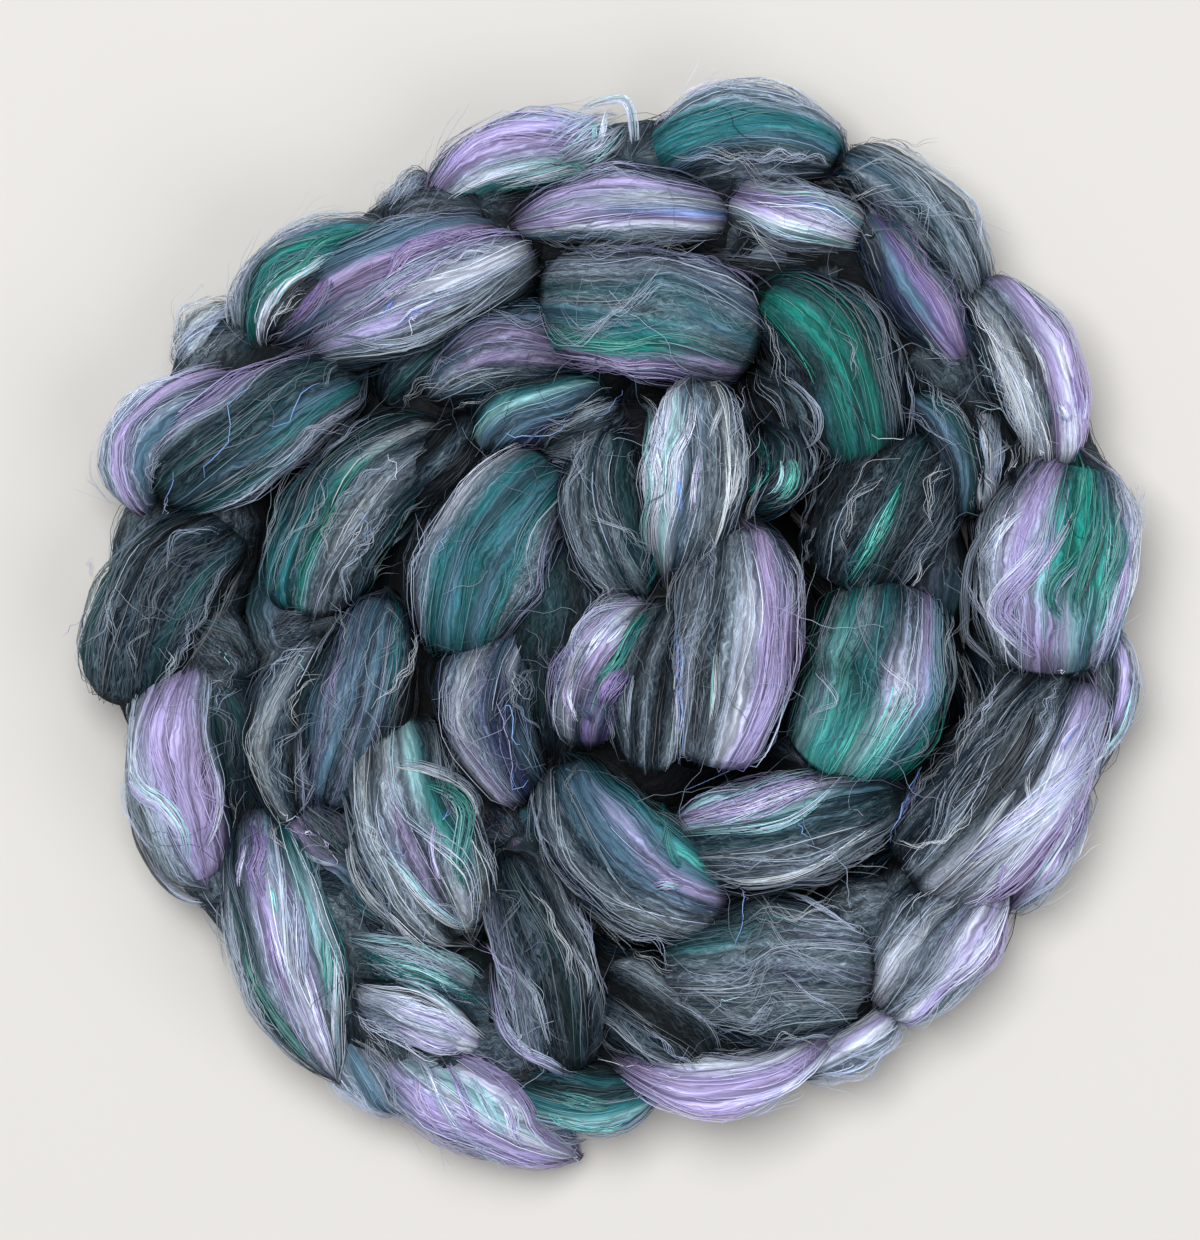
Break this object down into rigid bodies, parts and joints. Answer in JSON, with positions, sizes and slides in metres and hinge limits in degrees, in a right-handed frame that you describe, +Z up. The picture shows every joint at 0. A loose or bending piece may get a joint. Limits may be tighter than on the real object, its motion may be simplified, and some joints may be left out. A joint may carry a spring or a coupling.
{
  "type": "coiled chain braid of wool roving",
  "caption": "Hand-dyed combed wool roving, chain-braided and wound flat into a round coil, with the roving's tapering end at the rim.",
  "frame": {"origin": "on the surface that the coil lies on, at the middle of the coil", "axes": "+Z up from the surface, +Y from the roving's tapering end across the coil, +X to the right of that seen from above"},
  "size_m": [0.2119, 0.2182, 0.0496],
  "materials": {
    "dyed_wool_roving": "combed fibre with a soft sheen, dyed in streaks of slate, teal, emerald, lilac, silver and charcoal"
  },
  "bodies": {
    "root": {"roving_braid": "dyed_wool_roving"}
  },
  "joints": []
}
